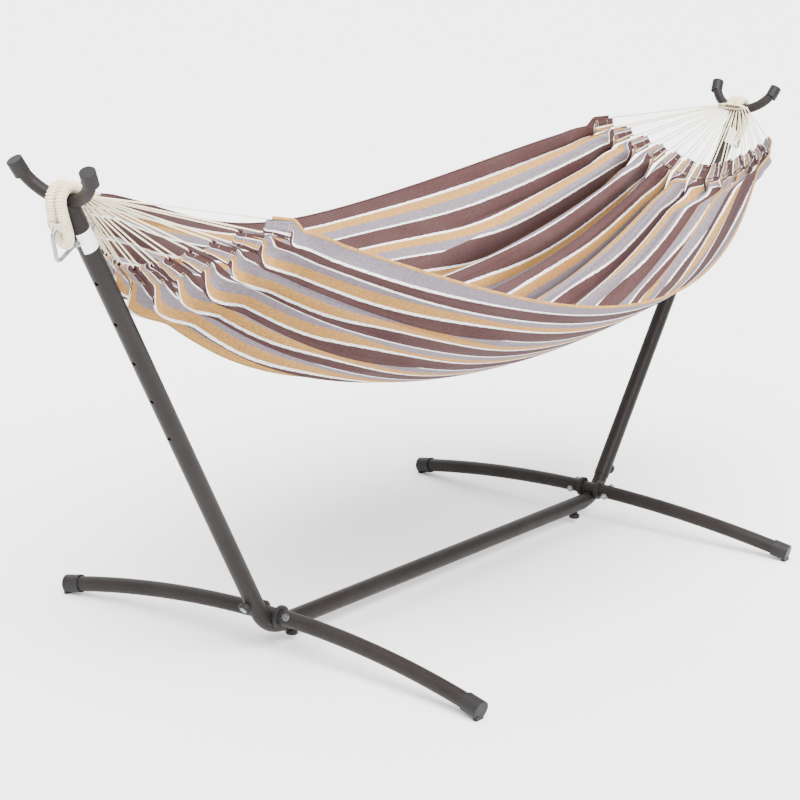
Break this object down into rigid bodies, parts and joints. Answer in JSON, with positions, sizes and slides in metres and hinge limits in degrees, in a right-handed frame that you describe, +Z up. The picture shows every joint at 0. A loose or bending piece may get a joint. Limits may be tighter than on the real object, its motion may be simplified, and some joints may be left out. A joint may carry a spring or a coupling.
{
  "type": "hammock on stand",
  "caption": "Striped cotton hammock hung by cords and whipped loops from a knock-down tubular steel stand with curved feet and horned crossbars.",
  "frame": {"origin": "on the ground under the middle of the hammock", "axes": "+X along the hammock towards the far end, +Y across towards the left side, +Z up"},
  "size_m": [2.8516, 1.149, 1.1283],
  "materials": {
    "frame_steel": "semi-matt dark brown-grey powder coat",
    "black_plastic": "moulded, slightly grained",
    "zinc_steel": "bright zinc plate",
    "blank_label": "satin blank sticker",
    "cotton_cord": "twisted undyed cotton",
    "striped_cotton": "coarse plain weave with lengthwise stripes"
  },
  "bodies": {
    "stand": {"base_corner_far": "frame_steel", "base_corner_near": "frame_steel", "center_beam": "frame_steel", "foot_bolts": "zinc_steel", "foot_cap_far_left": "black_plastic", "foot_cap_far_right": "black_plastic", "foot_cap_near_left": "black_plastic", "foot_cap_near_right": "black_plastic", "foot_collar_far_left": "black_plastic", "foot_collar_far_right": "black_plastic", "foot_collar_near_left": "black_plastic", "foot_collar_near_right": "black_plastic", "foot_nuts": "zinc_steel", "foot_tube_far_left": "frame_steel", "foot_tube_far_right": "frame_steel", "foot_tube_near_left": "frame_steel", "foot_tube_near_right": "frame_steel", "foot_washers": "zinc_steel", "hook_far": "zinc_steel", "hook_near": "zinc_steel", "hook_nuts": "zinc_steel", "hook_washers": "zinc_steel", "horn_cap_far_left": "black_plastic", "horn_cap_far_right": "black_plastic", "horn_cap_near_left": "black_plastic", "horn_cap_near_right": "black_plastic", "label_far": "blank_label", "label_near": "blank_label", "upright_far": "frame_steel", "upright_near": "frame_steel", "weld_nuts": "zinc_steel", "whipped_loop_far": "cotton_cord", "whipped_loop_near": "cotton_cord"},
    "hammock": {"cords_far": "cotton_cord", "cords_near": "cotton_cord", "hammock_bed": "striped_cotton", "tab_hems_far": "striped_cotton", "tab_hems_near": "striped_cotton"},
    "upright_knob_near": {"upright_knob_near": "black_plastic", "upright_knob_near_screw": "zinc_steel"},
    "upright_knob_far": {"upright_knob_far": "black_plastic", "upright_knob_far_screw": "zinc_steel"},
    "beam_knob_near": {"beam_knob_near": "black_plastic", "beam_knob_near_screw": "zinc_steel"},
    "beam_knob_far": {"beam_knob_far": "black_plastic", "beam_knob_far_screw": "zinc_steel"}
  },
  "joints": [
    {"name": "hammock_swing", "type": "hinge", "parent": "stand", "child": "hammock", "pos_m": [0, 0, 1.063], "axis": [1, 0, 0], "range_deg": [-20, 20]},
    {"name": "turn_upright_knob_near", "type": "hinge", "parent": "stand", "child": "upright_knob_near", "pos_m": [-0.76288, 0, 0.13186], "axis": [-0.8353, 0, -0.5498], "range_deg": [-1080, 0]},
    {"name": "turn_beam_knob_near", "type": "hinge", "parent": "stand", "child": "beam_knob_near", "pos_m": [-0.615, 0, 0.05], "axis": [0, 0, -1], "range_deg": [-1080, 0]},
    {"name": "turn_upright_knob_far", "type": "hinge", "parent": "stand", "child": "upright_knob_far", "pos_m": [0.76288, 0, 0.13186], "axis": [0.8353, 0, -0.5498], "range_deg": [-1080, 0]},
    {"name": "turn_beam_knob_far", "type": "hinge", "parent": "stand", "child": "beam_knob_far", "pos_m": [0.615, 0, 0.05], "axis": [0, 0, -1], "range_deg": [-1080, 0]}
  ]
}
